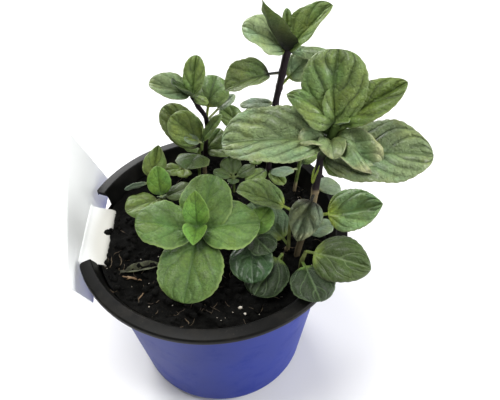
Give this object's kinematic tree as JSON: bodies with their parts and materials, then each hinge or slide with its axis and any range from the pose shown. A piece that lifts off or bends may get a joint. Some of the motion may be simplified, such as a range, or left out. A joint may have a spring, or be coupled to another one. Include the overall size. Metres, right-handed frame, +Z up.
{
  "type": "potted mint plant",
  "caption": "Bushy mint plant with broad toothed leaves on square dark stems, in a round tapered nursery pot of soil with a notched rim and a bare card label.",
  "frame": {"origin": "centre of the pot's flat underside, on the surface the pot stands on", "axes": "+Z up along the pot's axis, -Y towards the viewer, +X to the viewer's right; the label stands at the -X side"},
  "size_m": [0.1595, 0.13, 0.2076],
  "materials": {
    "pot": "satin",
    "soil": "matte",
    "label": "satin",
    "leaf_bright": "satin",
    "leaf": "satin",
    "leaf_dark": "satin"
  },
  "bodies": {
    "root": {"pot": "pot", "soil": "soil", "plant_label": "label", "shoot_right_tall": "leaf", "shoot_back_tall": "leaf", "shoot_left_back": "leaf", "shoot_left_side": "leaf", "shoot_front_left": "leaf_bright", "shoot_left_front": "leaf_bright", "shoot_left_rear": "leaf", "shoot_middle": "leaf", "shoot_front_right": "leaf_dark", "shoot_front": "leaf_dark", "shoot_front_middle": "leaf_dark", "shoot_middle_right": "leaf", "shoot_back_middle": "leaf", "shoot_back_right": "leaf", "shoot_back_left": "leaf"}
  },
  "joints": []
}
